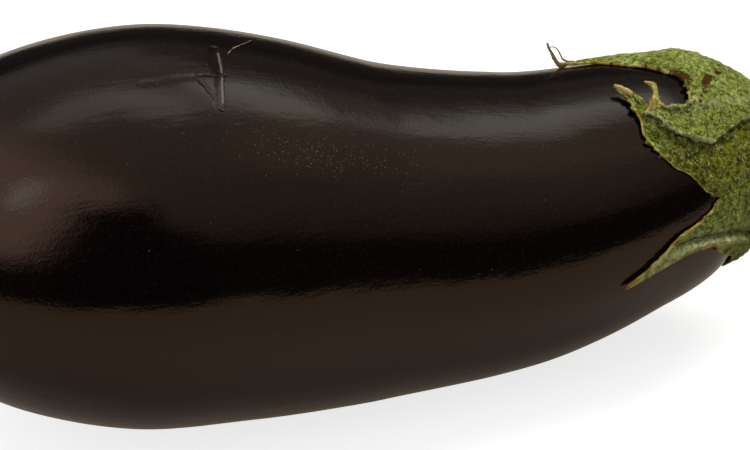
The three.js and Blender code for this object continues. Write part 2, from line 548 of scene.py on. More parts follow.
def ledge_marks(finish):
    """A scar that slopes gently down along the fruit to a sharp step: its depth, and a thin line
    along the step where a pale highlight is painted.
    """
    depths, lip_highlights = None, None
    place = wavering_place(finish, 0.25)
    for start, end, reach, depth in LEDGES:
        start, end = mark_ends(start, end)
        apart = segment_distance(finish.tree, place, start, end)
        within = finish.ramp(apart, reach * 1.15 * MM, reach * 0.85 * MM)
        run = Vector(end - start).normalized()
        ahead = (Vector((1, 0, 0)) - run * run.x).normalized()
        offset = add_vector_math(finish.tree, "SUBTRACT", place, Vector(start) * MM)
        along = add_vector_math(finish.tree, "DOT_PRODUCT", offset, ahead)
        slope = finish.ramp(along, -reach * MM, 0.0, 0.0, depth)
        step = finish.ramp(along, LEDGE_STEP * MM, 0.0)
        mark = finish.times(finish.times(slope, step), within)
        # Painted highlight: a thin pale line along the step.
        lip = finish.ramp(apart, LIP_HIGHLIGHT_WIDTHS[0] * MM, LIP_HIGHLIGHT_WIDTHS[1] * MM)
        depths = finish.deepest(depths, mark)
        lip_highlights = finish.deepest(lip_highlights, lip)
    return depths, lip_highlights


def skin_material():
    finish = Finish("eggplant_skin")
    finish.set(IOR=1.42, Specular_Tint=GLOSS_TINT, Metallic=0.0)
    broad = finish.noise(26, 2, stretch=(0.5, 1, 1))
    streaks = finish.noise(4.5, 4, stretch=(0.12, 1, 1))
    brushed = finish.noise(1.1, 3, stretch=(0.1, 1, 1))
    grain = finish.noise(0.55, 2)
    scar, lip = ledge_marks(finish)
    shade = finish.mix(broad, *SKIN_SHADES)
    shade = finish.mix(finish.ramp(grain, 0.5, 0.75), shade, SKIN_GRAIN)
    # Painted highlight along the scar's step, a fifth of the way to a pale colour.
    shade = finish.mix(finish.times(lip, 0.2), shade, SCAR_LIP_HIGHLIGHT)
    shade = finish.mix(straight_marks(finish, SCRATCHES), shade, SCRATCH)
    finish.join(shade, "Base Color")
    rough = finish.math("MULTIPLY_ADD", brushed, 0.06, 0.075)
    finish.join(finish.math("MULTIPLY_ADD", broad, 0.05, rough), "Roughness")
    sunk = finish.deepest(straight_marks(finish, GROOVES), scar)
    finish.bump(
        (finish.noise(9, 3, stretch=(0.6, 1, 1)), 0.10),
        (streaks, 0.035),
        (brushed, 0.03),
        (grain, 0.024),
        (finish.times(sunk, -1.0), 1.0),
    )
    return finish.material


def leaf_green(finish, mottle):
    """Patchy green with dark mottling, and painted light: paler where the calyx is painted as lit,
    darker where it is painted as shaded.
    """
    patch = finish.ramp(finish.noise(7, 3), 0.35, 0.65)
    # Painted light: how far each place is painted as lit.
    painted_sun_share = finish.attribute("sunned")
    green = finish.mix(painted_sun_share, finish.mix(patch, *PAINTED_SHADE_GREENS), finish.mix(patch, *PAINTED_SUN_GREENS))
    return finish.mix(mottle, finish.mix(painted_sun_share, *DEEP_GREENS_PAINTED_SHADE_AND_SUN), green)


def dry_marks(finish, green):
    """Tan along the torn rims, and brown where the calyx is bruised."""
    torn = finish.math("MULTIPLY_ADD", finish.noise(0.9, 3), 1.1, finish.attribute("rim"))
    tan = finish.mix(finish.ramp(finish.noise(3.0, 2), 0.4, 0.6), *RIM_TANS)
    green = finish.mix(finish.ramp(torn, 1.1, 1.35), green, tan)
    dry = finish.math("MULTIPLY_ADD", finish.noise(1.0, 3), 0.9, finish.attribute("bruise"))
    return finish.mix(finish.ramp(dry, 0.85, 1.1), green, BRUISE)


def calyx_material():
    finish = Finish("calyx_green")
    finish.set(Roughness=0.75, IOR=1.4, Specular_IOR_Level=0.15)
    crinkle = finish.noise(1.3, 4, 0.62)
    folded = finish.math("ABSOLUTE", finish.math("SUBTRACT", crinkle, 0.5))
    ridge = finish.ramp(folded, 0.055, 0.0)
    fleck = finish.noise(0.5, 2)
    mottle = finish.ramp(finish.noise(1.4, 6, 0.8), 0.40, 0.55)
    green = leaf_green(finish, mottle)
    veined = finish.times(ridge, finish.ramp(fleck, 0.48, 0.62))
    green = finish.mix(finish.times(veined, 0.85), green, VEIN)
    spotty = finish.math("MULTIPLY_ADD", mottle, 0.5, 0.28)
    pale = finish.times(finish.attribute("raised"), spotty)
    green = finish.mix(finish.math("MINIMUM", pale, 0.9), green, PALE_GREEN)
    finish.join(dry_marks(finish, green), "Base Color")
    finish.bump((crinkle, 0.9), (mottle, 0.20), (ridge, 0.18), (fleck, 0.12))
    return finish.material


def stem_material():
    finish = Finish("stem_green")
    finish.set(Roughness=0.75, IOR=1.4, Specular_IOR_Level=0.15)
    fibres = finish.noise(1.6, 4, stretch=(0.15, 1, 1))
    mottle = finish.noise(1.2, 3)
    green = finish.mix(finish.ramp(fibres, 0.3, 0.7), *STEM_GREENS)
    green = finish.mix(finish.ramp(mottle, 0.55, 0.75), green, STEM_PALE)
    wood = finish.mix(finish.noise(0.7, 3), *CUT_WOODS)
    finish.join(finish.mix(finish.attribute("cut"), green, wood), "Base Color")
    finish.bump((fibres, 0.35), (mottle, 0.2))
    return finish.material


def mottled_material(name, color, roughness):
    """One colour, with darker mottling."""
    finish = Finish(name)
    finish.set(Roughness=roughness, IOR=1.4)
    tone = tuple(part * 0.7 for part in color)
    finish.join(finish.mix(finish.noise(0.6, 3), tone, color), "Base Color")
    return finish.material


# ---- the fruit ----

FRUIT_RINGS = 300
FRUIT_ROUND = 300
RINGS_CROWDED, RINGS_EVEN = 0.55, 0.45  # the ends are rounder, so the rings crowd towards them
SPECKS_EVERYWHERE = 0.005
PATCH_ANGLE, PATCH_DISTANCE = 39.5, 126.0
PATCH_TURN = [(0.95, 0, 0.3), (0, 1, 0), (-0.3, 0, 0.95)]
PATCH_REACH = (16, 9, 2.2)


def fruit_piece(tree, material):
    """The skin, swept round the axis and then shaped."""
    crowded = SKIN_LENGTH * (1 - np.cos(np.linspace(0, math.pi, FRUIT_RINGS))) / 2
    even = np.linspace(0, SKIN_LENGTH, FRUIT_RINGS)
    places = RINGS_CROWDED * crowded + RINGS_EVEN * even
    radius, station = sample(profile, profile_at, places).T
    piece = swept_piece("fruit_skin", sample(spine, spine_at, station), radius, tree, {
        "Points round": FRUIT_ROUND, "Ridges": 0.0, "Ridge depth": 0.0, "Material": material})
    shape_skin(piece.data)
    return piece


def shape_skin(mesh):
    """Gives the swept skin its uneven swelling and its flat spot, and says where specks lie."""
    points = read_points(mesh, "co") / MM
    normals = read_points(mesh, "normal")
    add_attribute(mesh, "speck", speck_weight(points))
    broad = 0.25 * rumple(points * (0.7, 1, 1), 38, 1)
    swell = broad + 0.07 * rumple(points * (0.6, 1, 1), 13, 2)
    points += normals * swell[:, None]
    points[:, 2] = np.maximum(points[:, 2], 0)
    mesh.vertices.foreach_set("co", (points * MM).ravel())
    mesh.shade_smooth()


def speck_weight(points):
    """Where the tiny corky specks lie: a faint scatter, and a dense patch on one side."""
    middle = over_skin(np.array([PATCH_ANGLE]), np.array([PATCH_DISTANCE]), 0.0)[0]
    offset = (points - middle) @ np.array(PATCH_TURN) / PATCH_REACH
    patch = np.exp(-(offset ** 2).sum(-1)) * (points[:, 1] < 0)
    return SPECKS_EVERYWHERE + patch


def blossom_scar(material):
    """The small corky button that the flower leaves at the fruit's far end."""
    around, size, sunk = 40, 3.6, -0.5
    reaches = np.append(np.linspace(0.05, size, 9), size)
    rises = 0.3 * np.cos(reaches / size * np.pi / 2) + 0.12 * np.cos(reaches * 3)
    rises[-1] = sunk
    angle = np.linspace(0, 360, around, endpoint=False)
    turn = np.radians(angle)
    reach = reaches[:, None] * (1 + 0.16 * np.sin(turn * 3 + 1) + 0.08 * np.sin(turn * 7))
    rise = np.broadcast_to(rises[:, None], reach.shape)
    placed = over_skin(np.broadcast_to(angle, reach.shape), SKIN_LENGTH - reach, rise)
    last = (len(reaches) - 1) * around
    ends = [tuple(range(around)), tuple(range(last, last + around))]
    faces = ring_faces(len(reaches) - 1, around) + ends
    return mesh_piece("blossom_scar", placed.reshape(-1, 3), faces, material)


# ---- the calyx ----

NECK = 23  # radius of the neck where the sepals part, to compare angles with lengths
SHOULDER = 15.0  # distance at which the cap's collar meets the skin
CAP_ROWS = 52
COLLAR_ROWS = 14
COLLAR_RADIUS = 7.7
COLLAR_TOP = FRUIT_LENGTH + 10.5
SEPAL_ROWS = 54
COLUMNS_PER_DEGREE = 0.82
RAGGED = 0.5  # depth of the teeth along a rim, in millimetres

# Each sepal's two edges, from the notch beside it to its tip, as
# (angle round the neck, distance from the stem end along the skin, height of the rim).
TOP_SEPAL = {
    "ragged": 0.3,
    "left": [(-48, 35, 1.5), (-42, 40, 1.7), (-34, 45, 1.2), (-28, 49, 0.9), (-25, 53, 0.8),
             (-23, 57, 0.7)],
    "right": [(15, 35, 0.8), (11, 34.5, 0.8), (6, 35.2, 0.7), (1, 38.4, 0.6), (-3, 40.5, 0.6),
              (-8, 44.2, 0.5), (-13, 47.6, 0.5), (-17, 50.5, 0.5), (-19, 54, 0.6),
              (-21.5, 57, 0.6)]}
FRONT_SEPAL = {
    "ragged": 0.75,
    "left": [(15, 35, 1.2), (24, 36.8, 1.2), (30, 39.5, 1.2), (32, 43, 1.2), (31, 45.5, 1.4),
             (26, 47.8, 1.7), (21, 49.2, 1.9), (17.5, 50.3, 2.0), (13.5, 52, 1.9)],
    "right": [(76, 38.5, 0.6), (73, 40.2, 0.6), (69, 42, 0.6), (60.5, 44.6, 0.6), (55.5, 47.4, 0.7),
              (50.5, 49, 0.7), (46, 50.2, 0.8), (42, 51.2, 0.9), (37.5, 51.9, 1.0),
              (31.5, 51.3, 1.1), (25, 51.4, 1.2), (20.5, 51.5, 1.3), (17, 52, 1.4),
              (14, 52.8, 1.5)]}
LOW_FRONT_SEPAL = {
    "left": [(76, 38.5, 0.6), (78.5, 40.3, 0.5), (81, 42.4, 0.5), (82.7, 45.2, 0.6),
             (84, 48.6, 0.8), (86, 51.4, 0.9), (91, 56.2, 1.0), (94.7, 60.6, 0.9),
             (97.4, 64, 0.8)],
    "right": [(124, 33.5, 0.9), (115, 36.4, 1.1), (107, 39.3, 1.2), (98.5, 42.1, 1.1),
              (96.5, 44.5, 1.0), (95.5, 47, 0.9), (96, 51.3, 0.9), (96.8, 57, 0.9),
              (98, 61.5, 0.9), (98.4, 64.2, 0.8)]}
UNDER_SEPAL = {
    "left": [(124, 33.5, 0.9), (134, 33.3, 0.8), (147, 33.2, 0.7), (158, 34.8, 0.8),
             (168, 41, 0.8), (177, 55, 0.7)],
    "right": [(200, 32, 0.8), (198, 38, 0.8), (193, 45, 0.8), (186, 50.5, 0.8), (179, 55.4, 0.7)]}
LOW_BACK_SEPAL = {
    "left": [(200, 32, 0.8), (204, 38.5, 0.9), (211, 49, 1.0), (217, 55, 1.0), (222, 61, 1.2)],
    "right": [(246, 37.5, 1.0), (241, 41, 1.0), (233, 48, 1.0), (227, 55, 1.1),
              (223.5, 61.4, 1.2)]}
BACK_SEPAL = {
    "left": [(246, 37.5, 1.0), (253, 41, 1.1), (261, 47, 1.2), (270, 53, 1.6), (277, 58, 2.2)],
    "right": [(312, 35, 1.5), (302, 40, 1.2), (292, 46, 1.1), (284, 52, 1.5), (278.5, 58.4, 2.2)]}
SEPALS = [TOP_SEPAL, FRONT_SEPAL, LOW_FRONT_SEPAL, UNDER_SEPAL, LOW_BACK_SEPAL, BACK_SEPAL]

# The sepal that lies over the front one: its root is sunk in the cap and its hooked tip stands up.
OVER_SEPAL = {
    "left": [(17, 13, 0.3), (18, 22, 0.5), (21, 30, 0.8), (25, 35.5, 1.4), (28.5, 38.8, 1.9),
             (30, 41.6, 2.1), (28.7, 44, 2.2), (26.7, 45.4, 2.4), (24, 45.2, 2.7),
             (21, 44.6, 3.0), (18, 44.7, 3.3)],
    "right": [(41, 13, 2.0), (42.5, 20, 2.3), (43, 26, 2.4), (46, 30, 2.5), (48.5, 34.5, 2.5),
              (50.4, 37.2, 2.4), (49, 39.6, 2.4), (45, 42.8, 2.4), (42, 45.2, 2.4),
              (37.7, 46.8, 2.4), (33.6, 47.8, 2.3), (30, 49.6, 2.2), (26.7, 48.6, 2.4),
              (24.3, 47.2, 2.7), (20.8, 45.8, 3.1), (17.2, 46, 3.4)],
}
BRUISES = [  # brown patches: angle, distance, radius
    (12, 29, 1.0), (15, 30.3, 1.1), (18, 31, 0.9), (22, 32, 0.8), (25, 33.6, 0.6), (28, 35, 0.6),
    (5.5, 25.6, 0.9), (8, 26.3, 0.7), (46.5, 27.5, 0.8), (44.5, 25.5, 0.6), (4, 35.8, 1.0),
    (7, 34.4, 1.2), (9.5, 34.0, 1.1), (12, 34.0, 0.9), (15, 34.8, 0.8), (19, 35.8, 0.6),
    (0, 38.4, 0.6), (-4, 40.6, 0.5), (-9, 44.4, 0.5), (-13, 47.2, 0.5),
]
FOLDS = [  # each a line of (angle, distance), with the fold's height and width
    ([(89, 50), (90.5, 45.2), (92, 42.3), (94, 39), (99.5, 34.6), (108, 30)], -1.2, 0.55),
    ([(92, 52), (93.5, 45), (95.5, 41.8), (98, 38.8), (103, 35.4), (111, 31)], 0.9, 0.6),
    ([(15, 31), (22, 33.2), (28, 36.6), (31.5, 40)], 0.25, 0.7),
    ([(-20, 34), (-14, 30), (-6, 26), (2, 22)], -0.3, 1.2),
]


def flat_place(angle, distance):
    """Angle and distance as lengths on the unrolled neck."""
    return np.stack([np.radians(angle) * NECK, np.asarray(distance, float)], -1)


def edge_line(points, rows):
    """An edge's (angle, distance, height) at even steps of its length."""
    curve = spline(points, 400)
    at = lengths(flat_place(curve[:, 0], curve[:, 1]))
    return sample(curve, at, np.linspace(0, at[-1], rows))


def both_edges(sepal, rows):
    return [edge_line(sepal[side], rows) for side in ("left", "right")]


def blade_grid(sepal, rows, across):
    """Angle, distance and rim height at each place between a sepal's two edges."""
    left, right = (edge[:, None, :] for edge in both_edges(sepal, rows))
    return np.moveaxis(left * (1 - across[..., None]) + right * across[..., None], -1, 0)


class Outline:
    """The edges of a sheet, to find how far a place is from them and how high they stand there."""

    def __init__(self, lines):
        knots = np.concatenate(lines)
        turned = np.concatenate([knots, knots + (360, 0, 0), knots - (360, 0, 0)])
        self.heights = turned[:, 2]
        self.tree = kdtree.KDTree(len(turned))
        for index, (x, y) in enumerate(flat_place(turned[:, 0], turned[:, 1])):
            self.tree.insert((x, y, 0), index)
        self.tree.balance()

    def near(self, angle, distance):
        places = flat_place(angle, distance).reshape(-1, 2)
        found = [self.tree.find((x, y, 0)) for x, y in places]
        apart = np.array([item[2] for item in found]).reshape(angle.shape)
        return apart, self.heights[[item[1] for item in found]].reshape(angle.shape)


class Sheet:
    """Collects grids of points on the outside, each with a point under it, and closes the body."""

    def __init__(self):
        self.top, self.under, self.quads, self.walls = [], [], [], []
        # sunned is painted light; rim, raised and bruise are the calyx's own colours.
        self.marks = {"rim": [], "raised": [], "bruise": [], "sunned": []}
        self.count = 0

    def add(self, top, under, **marks):
        """Takes in a grid of points with what marks them, and gives back their numbers."""
        shape = top.shape[:-1]
        self.top.append(top.reshape(-1, 3))
        self.under.append(under.reshape(-1, 3))
        for label, store in self.marks.items():
            store.append(np.broadcast_to(marks.get(label, 0.0), shape).ravel())
        numbers = np.arange(self.count, self.count + top[..., 0].size).reshape(shape)
        self.count += numbers.size
        return numbers

    def cover(self, grid, closed=False):
        """Lays faces over a grid of point numbers."""
        if closed:
            grid = np.concatenate([grid, grid[:, :1]], axis=1)
        corners = (grid[:-1, :-1], grid[1:, :-1], grid[1:, 1:], grid[:-1, 1:])
        self.quads.extend(np.stack(corners, -1).reshape(-1, 4).tolist())

    def wall(self, chain):
        """Closes the side along a chain of point numbers."""
        self.walls.extend(zip(chain[:-1], chain[1:]))

    def piece(self, name, material):
        count = self.count
        faces = list(self.quads)
        faces += [tuple(number + count for number in reversed(quad)) for quad in self.quads]
        faces += [(int(a), int(b), int(b) + count, int(a) + count) for a, b in self.walls]
        marks = {label: np.concatenate(store + store) for label, store in self.marks.items()}
        marks["outer"] = np.concatenate([np.ones(count), np.zeros(count)])
        return mesh_piece(name, np.concatenate(self.top + self.under), faces, material, marks)


def under_side(angle):
    """0 on top of the neck and 1 below it, where the calyx is fleshier."""
    return 0.5 - 0.5 * np.cos(np.radians(angle))


def sunned(angle):
    """Painted light: 1 where the calyx is painted as lit, on top of the neck and on the low front
    sepal, and 0 where it is painted as shaded, on its sides.
    """
    top = hump(turned_from(angle, -5), 42, 4)
    low = 1.6 * hump(turned_from(angle, 96), 17)
    return np.clip(top + low, 0, 1)


def body_height(angle, distance):
    """How high the calyx stands over the skin away from its edges."""
    crown = 1.6 * hump(distance - 31, 5.5) * hump(turned_from(angle, -22), 30)
    spread = 0.5 * smooth_step(46, 38, distance)
    below = 0.2 * under_side(angle) ** 2
    return 0.95 + spread + crown + below


def ribs(angle, distance):
    """Low ribs that run from the stem down the middle of each sepal."""
    total = np.zeros_like(angle, float)
    for sepal in SEPALS:
        left, right = sepal["left"], sepal["right"]
        middle = (2 * left[-1][0] + left[0][0] + right[0][0]) / 4
        total += hump(np.radians(turned_from(angle, middle)) * NECK, 1.4)
    return total * smooth_step(50, 30, distance)


def low_blade(angle, distance):
    """1 on the blade of the low front sepal, whose face is the palest."""
    return hump(turned_from(angle, 96), 8, 4) * smooth_step(36, 43, distance)


def fold_height(angle, distance):
    total = np.zeros_like(angle, float)
    for line, height, width in FOLDS:
        knots = [(*place, 0) for place in line]
        apart, _ = Outline([edge_line(knots, 60)]).near(angle, distance)
        total += height * hump(apart, width)
    return total


def bruise_mark(angle, distance):
    total = np.zeros_like(angle, float)
    places = flat_place(angle, distance)
    for spot_angle, spot_distance, radius in BRUISES:
        apart = np.linalg.norm(places - flat_place(spot_angle, spot_distance), axis=-1)
        total += hump(apart, radius)
    return total


def wrinkles(angle, distance, seed):
    """Crinkled relief, in millimetres."""
    place = over_skin(angle, distance, 0.0).reshape(-1, 3)
    fine = 1 - 2 * np.abs(rumple(place, 1.7, seed))
    broad = rumple(place, 7, seed + 1)
    return (0.26 * fine + 0.34 * broad).reshape(angle.shape)


def ragged_edges(angle, distance, across, seed, depth):
    """Moves the places next to the side edges in and out along the skin, as small teeth."""
    place = np.stack([angle * 0.4, distance, np.full_like(angle, seed * 9.0)], -1)
    teeth = rumple(place.reshape(-1, 3), 1.3, seed).reshape(angle.shape)
    spikes = np.maximum(teeth - 0.15, 0) * 2.4 + 0.35 * teeth
    return distance + depth * spikes * np.abs(2 * across - 1) ** 10


def lay_on_skin(sheet, outline, angle, distance, body, seed):
    """Adds a grid of places to the sheet, blending the body's height into the rim's."""
    apart, rim_height = outline.near(angle, distance)
    near_rim = hump(apart, 1.7)
    inside = 1 - hump(apart, 1.2)
    height = body * (1 - near_rim) + rim_height * near_rim + 0.16 * hump(apart - 0.45, 0.4)
    rib, folds = ribs(angle, distance), fold_height(angle, distance)
    detail = wrinkles(angle, distance, seed) + 0.3 * rib
    height = height + (detail + folds) * (0.35 + 0.65 * inside)
    thick = np.minimum(0.42 + 0.6 * inside, np.maximum(height - 0.15, 0.3))
    return sheet.add(
        over_skin(angle, distance, height),
        over_skin(angle, distance, height - thick),
        rim=hump(apart, 0.36),
        raised=0.4 * rib + np.maximum(folds, 0) + 0.9 * low_blade(angle, distance),
        bruise=bruise_mark(angle, distance),
        # Painted light, from the side of the neck each place is on.
        sunned=sunned(angle))


def stem_flare(angle, rows):
    """The cap's outer line from the stem onto the shoulder: radius and station, row by row."""
    raised, (along_radius, along_station) = raised_profile(SHOULDER, body_height(angle, SHOULDER))
    end = np.stack(raised, -1)
    reach = (end[:, 0] - COLLAR_RADIUS) / along_radius
    bend = np.stack([np.full_like(angle, COLLAR_RADIUS), end[:, 1] - reach * along_station], -1)
    top = np.array([COLLAR_RADIUS - 1.0, COLLAR_TOP])
    share = np.linspace(0, 1, rows)[:, None, None]
    line = (1 - share) ** 2 * top + 2 * share * (1 - share) * bend + share ** 2 * end
    return np.moveaxis(line, -1, 0)


def calyx_columns():
    """Each column's angle, its distance on the line between the notches, and its sepal."""
    angle, distance, owner = [], [], []
    for number, sepal in enumerate(SEPALS):
        first, last = sepal["left"][0], sepal["right"][0]
        count = round((last[0] - first[0]) * COLUMNS_PER_DEGREE)
        share = np.arange(count) / count
        angle.append(first[0] + (last[0] - first[0]) * share)
        distance.append(first[1] + (last[1] - first[1]) * share)
        owner.append(np.full(count, number))
    return np.concatenate(angle), np.concatenate(distance), np.concatenate(owner)


def lay_collar(sheet, column_angle):
    """The part of the cap that rises from the shoulder and grips the stem."""
    radius, station = stem_flare(column_angle, COLLAR_ROWS)[:, :-1]
    angle = np.radians(np.broadcast_to(column_angle, radius.shape))
    radius = radius * (1 + 0.03 * np.cos(angle * 5))
    return sheet.add(bent(radius, station, angle), bent(radius - 1.1, station - 0.5, angle))


def calyx_piece(material):
    """The cap and its six sepals, as one closed sheet round the neck."""
    outline = Outline([edge for sepal in SEPALS for edge in both_edges(sepal, 220)])
    column_angle, column_distance, owner = calyx_columns()
    sheet = Sheet()
    collar = lay_collar(sheet, column_angle)
    rows = np.linspace(0, 1, CAP_ROWS)[:, None]
    distance = SHOULDER + (column_distance - SHOULDER) * rows
    angle = np.broadcast_to(column_angle, distance.shape)
    cap = lay_on_skin(sheet, outline, angle, distance, body_height(angle, distance), 3)
    sheet.cover(np.concatenate([collar, cap]), closed=True)
    sheet.wall(np.append(collar[0], collar[0, 0]))
    for number, sepal in enumerate(SEPALS):
        own = np.flatnonzero(owner == number)
        root = cap[-1, np.append(own, (own[-1] + 1) % len(owner))]
        lay_sepal(sheet, outline, sepal, root, number)
    return sheet.piece("calyx_cap", material)


def lay_sepal(sheet, outline, sepal, root, number):
    """Lays one sepal's blade on from its root, a row of points that the cap ends in."""
    across = np.linspace(0, 1, len(root))[None, :]
    angle, distance, rim = blade_grid(sepal, SEPAL_ROWS, across)[:, 1:]
    distance = ragged_edges(angle, distance, across, number + 5, sepal.get("ragged", RAGGED))
    along = np.linspace(0, 1, SEPAL_ROWS)[1:, None]
    body = body_height(angle, distance)
    body = body + (rim - body) * smooth_step(0.5, 0.9, along)
    blade = lay_on_skin(sheet, outline, angle, distance, body, number + 3)
    whole = np.concatenate([root[None, :], blade])
    sheet.cover(whole)
    sheet.wall(whole[::-1, 0])
    sheet.wall(whole[:, -1])
    sheet.wall(whole[-1, ::-1])


def over_sepal_height(angle, distance, rim, apart, across, along, tip):
    """The over sepal's height: a raised frilled lip round a blade that sags a little."""
    lip = 0.42 * hump(apart - 0.5, 0.45) * smooth_step(0.1, 0.35, along)
    flat = flat_place(angle, distance).reshape(-1, 2) @ np.eye(2, 3)
    frill = 0.8 * rumple(flat, 2.2, 21)
    lip = lip + frill.reshape(apart.shape) * hump(apart, 1.1) * (1 - tip)
    sag = -0.35 * np.sin(np.pi * across) * smooth_step(0.3, 0.5, along) * (1 - tip)
    return rim + lip + sag + wrinkles(angle, distance, 8) * (1 - 0.7 * tip)


def over_sepal_piece(material):
    """The sepal that lies over the front one."""
    rows, width, thick = 96, 36, 0.6
    across = np.linspace(0, 1, width)[None, :]
    along = np.linspace(0, 1, rows)[:, None]
    angle, distance, rim = blade_grid(OVER_SEPAL, rows, across)
    distance = ragged_edges(angle, distance, across, 11, 1.3)
    apart, _ = Outline(both_edges(OVER_SEPAL, 260)).near(angle, distance)
    tip = smooth_step(0.8, 0.9, along)
    height = over_sepal_height(angle, distance, rim, apart, across, along, tip)
    free = smooth_step(0.0, 0.3, along) * smooth_step(-0.1, 0.5, across + 2 * along - 0.6)
    sheet = Sheet()
    blade = sheet.add(
        over_skin(angle, distance, height),
        over_skin(angle, distance, height - thick),
        rim=np.maximum(0.6 * hump(apart, 0.3) * free, tip),
        raised=1.6 * hump(apart - 0.1, 0.33) * free,
        bruise=bruise_mark(angle, distance) * 0.8,
        # Painted shade: the over sepal is painted half shaded all over.
        sunned=0.5)
    sheet.cover(blade)
    sheet.wall(np.concatenate([
        blade[0], blade[1:, -1], blade[-1, -2::-1], blade[-2:0:-1, 0], blade[0, :1]]))
    return sheet.piece("calyx_over_sepal", material)


# Dry threads at the sepals' tips: (angle, distance, height, radius) along each.
TENDRILS = {
    "calyx_tip_curl": [
        (-22, 53.5, 0.7, 0.3), (-22, 55.2, 0.7, 0.45), (-22, 56.8, 0.6, 0.55),
        (-22, 57.6, 1.0, 0.55), (-22, 58.4, 2.3, 0.5), (-22, 58.9, 3.5, 0.32),
        (-22, 59.4, 4.5, 0.3), (-22, 59.7, 5.7, 0.24)],
    "calyx_tip_loop": [
        (-22, 54, 1.0, 0.25), (-22, 55.4, 1.2, 0.25), (-22, 56.5, 1.9, 0.22),
        (-22, 56.9, 2.9, 0.18), (-22, 57.6, 4.2, 0.15), (-22, 58.7, 4.7, 0.13),
        (-22, 59.3, 4.4, 0.1)],
    "calyx_front_point": [
        (20, 50.2, 1.6, 0.45), (17, 51, 1.8, 0.6), (15, 51.7, 1.8, 0.62),
        (13.5, 52.4, 1.9, 0.5), (12.6, 53, 2.0, 0.3)],
    "calyx_hook": [
        (22, 45.3, 2.8, 0.45), (19.5, 45.3, 3.1, 0.5), (17.8, 45.4, 3.3, 0.42),
        (17, 46.2, 3.5, 0.36), (16.3, 47, 3.6, 0.2)],
}


def thread_pieces(tree, straw, thread):
    """The dry threads and points, each swept along its own line and closed at both ends."""
    pieces = []
    for name, knots in TENDRILS.items():
        angle, distance, height, radii = spline(knots, 44).T
        places = over_skin(angle, distance, height)
        radii = radii * (1 + 0.25 * rumple(places, 0.8, len(pieces) + 3))
        radii[0] *= 0.5
        radii[-1] *= 0.3
        material = thread if "_tip_" in name else straw
        piece = swept_piece(name, places, radii, tree, {
            "Points round": 10, "Ridges": 3.0, "Ridge depth": 0.16, "Material": material})
        face_outward(piece.data, ends_open=True)
        pieces.append(piece)
    return pieces


def fuzz_piece(name, host, tree, material, density, seed):
    """Star hairs over the outside of a calyx or stem piece."""
    return grown_piece(name, host, tree, {
        "Density": density, "Weight": "outer", "Smallest": 0.25 * MM, "Largest": 0.75 * MM,
        "Seed": seed, "Material": material})


# ---- the stem ----

STEM_ROUND = 90
CUT_RADIUS = 6.2
CUT_RINGS = [(0.93, 0.25), (0.7, 0.1), (0.4, -0.15), (0.12, -0.25)]  # share of radius, push out
BETWEEN_ENDS = 0.14  # an x, in metres, that parts the stem's sunk foot from its cut end


def stem_piece(tree, material):
    """The five-ridged stem, swept along the axis."""
    stations = np.linspace(STEM_START, STEM_END, 90)
    share = (stations - STEM_START) / (STEM_END - STEM_START)
    radius = 6.3 - 0.5 * np.sin(np.pi * share) + 0.7 * share ** 4
    centre = sample(spine, spine_at, stations)
    piece = swept_piece("stem_ridged", centre, radius, tree, {
        "Points round": STEM_ROUND, "Ridges": 5.0, "Ridge depth": 0.045, "Material": material})
    shape_stem(piece.data)
    return piece


def dished_cut(shape, ring, cut_layer):
    """Carries the rim of the cut end inwards, as rings that dip towards the middle."""
    forward = Vector(spine[-1] - spine[-40]).normalized()
    for shrink, push in CUT_RINGS:
        made = bmesh.ops.extrude_edge_only(shape, edges=ring)["geom"]
        corners = [item for item in made if isinstance(item, bmesh.types.BMVert)]
        ring = [item for item in made if isinstance(item, bmesh.types.BMEdge) and item.is_boundary]
        middle = sum((corner.co for corner in corners), Vector()) / len(corners)
        size = sum((corner.co - middle).length for corner in corners) / len(corners)
        goal = CUT_RADIUS * MM * shrink
        for corner in corners:
            corner.co = middle + (corner.co - middle) * (goal / size) + forward * push * MM
            corner[cut_layer] = 1.0
    return ring


def shape_stem(mesh):
    """Closes both ends of the stem, roughens it and says which part of it is hairy."""
    shape = bmesh.new()
    shape.from_mesh(mesh)
    shape.verts.ensure_lookup_table()
    ends = [edge for edge in shape.edges if edge.is_boundary]
    cut_ring = [edge for edge in ends if edge.verts[0].co.x > BETWEEN_ENDS]
    foot_ring = [edge for edge in ends if edge.verts[0].co.x <= BETWEEN_ENDS]
    cut_layer = shape.verts.layers.float.new("cut")
    inner_ring = dished_cut(shape, cut_ring, cut_layer)
    bmesh.ops.holes_fill(shape, edges=inner_ring + foot_ring, sides=0)
    bmesh.ops.recalc_face_normals(shape, faces=shape.faces)
    for corner in shape.verts:
        place = corner.co / (3 * MM) + Vector((5, 5, 5))
        value = noise.fractal(place, NOISE_FADE, NOISE_STEP, 2)
        corner.co += corner.normal * value * 0.14 * MM
    cut = np.array([corner[cut_layer] for corner in shape.verts])
    write_in_order(shape, mesh)
    add_attribute(mesh, "cut", cut)
    add_attribute(mesh, "outer", 1 - cut)
    mesh.shade_smooth()


def write_in_order(shape, mesh):
    """Writes the faces in a fixed order, so that the hairs on them fall alike in every run."""
    shape.verts.index_update()
    points = [tuple(corner.co) for corner in shape.verts]
    faces = []
    for face in shape.faces:
        corners = [corner.index for corner in face.verts]
        first = corners.index(min(corners))
        faces.append(tuple(corners[first:] + corners[:first]))
    shape.free()
    mesh.clear_geometry()
    mesh.from_pydata(points, [], sorted(faces))


# ---- the studio ----

def floor_material(name, color, glow):
    material = bpy.data.materials.new(name)
    material.use_nodes = True
    surface = material.node_tree.nodes["Principled BSDF"]
    surface.inputs["Base Color"].default_value = (*color, 1)
    surface.inputs["Roughness"].default_value = 1.0
    surface.inputs["Specular IOR Level"].default_value = 0.0
    surface.inputs["Emission Color"].default_value = (*glow, 1)
    surface.inputs["Emission Strength"].default_value = 1.0
    return material


